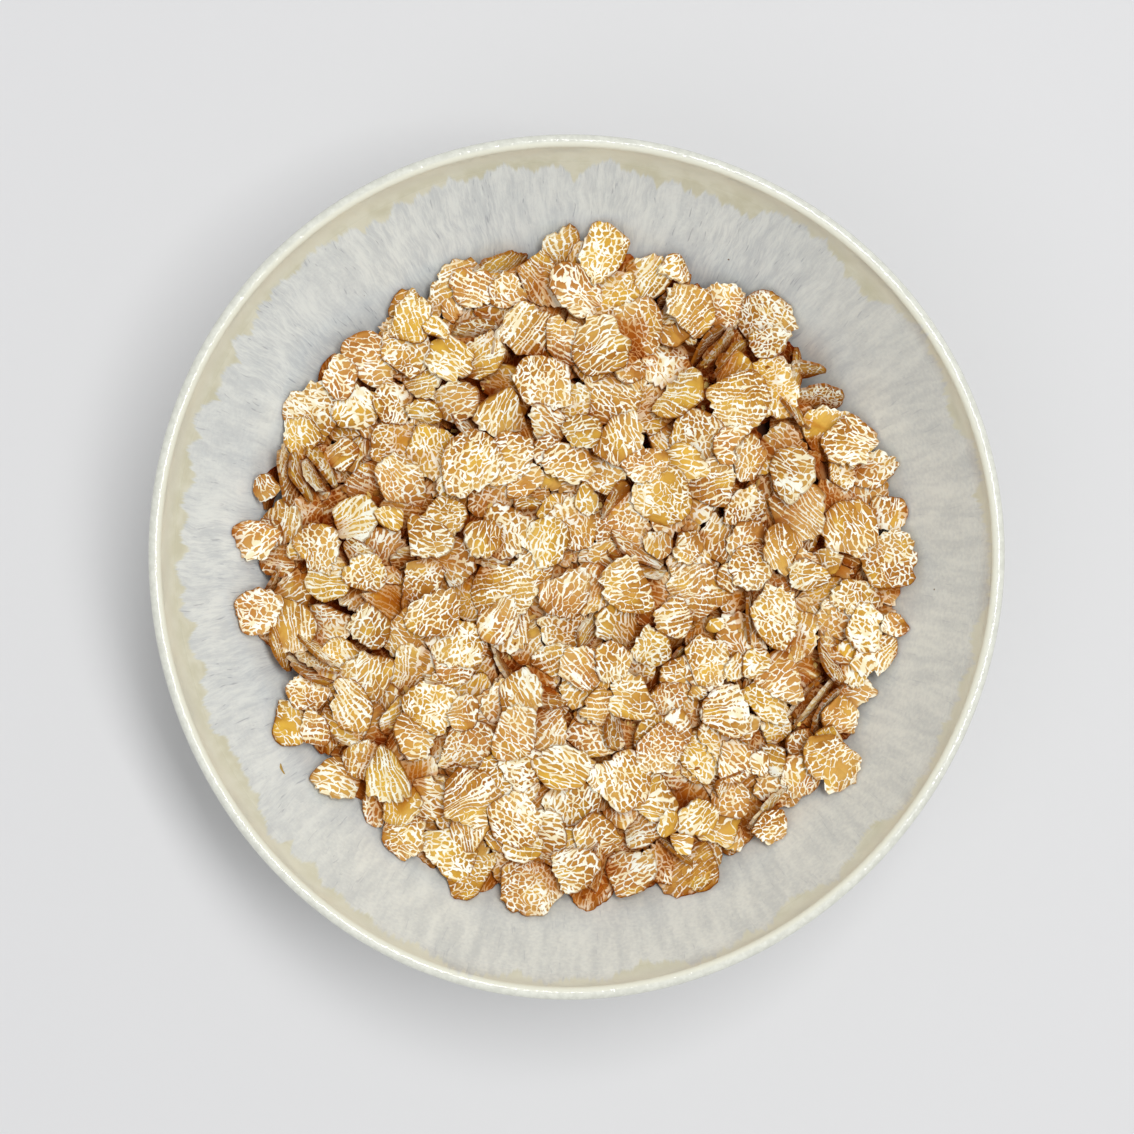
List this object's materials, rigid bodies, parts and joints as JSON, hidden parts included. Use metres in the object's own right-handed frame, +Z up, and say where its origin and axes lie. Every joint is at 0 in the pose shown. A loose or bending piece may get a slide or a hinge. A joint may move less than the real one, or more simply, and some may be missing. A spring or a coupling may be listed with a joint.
{
  "type": "bowl of grain flakes",
  "caption": "Small round footed stoneware bowl, slightly out of round, holding a low heap of dry rolled einkorn flakes for eating or cooking.",
  "frame": {"origin": "on the surface the bowl stands on, under the middle of the bowl's outline", "axes": "+Z up out of the bowl; +X to the right and +Y away from the viewer as pictured from above"},
  "size_m": [0.1194, 0.1206, 0.045],
  "materials": {
    "glaze": "gloss",
    "flake": "matte"
  },
  "bodies": {
    "root": {"bowl": "glaze", "flakes": "flake"}
  },
  "joints": []
}
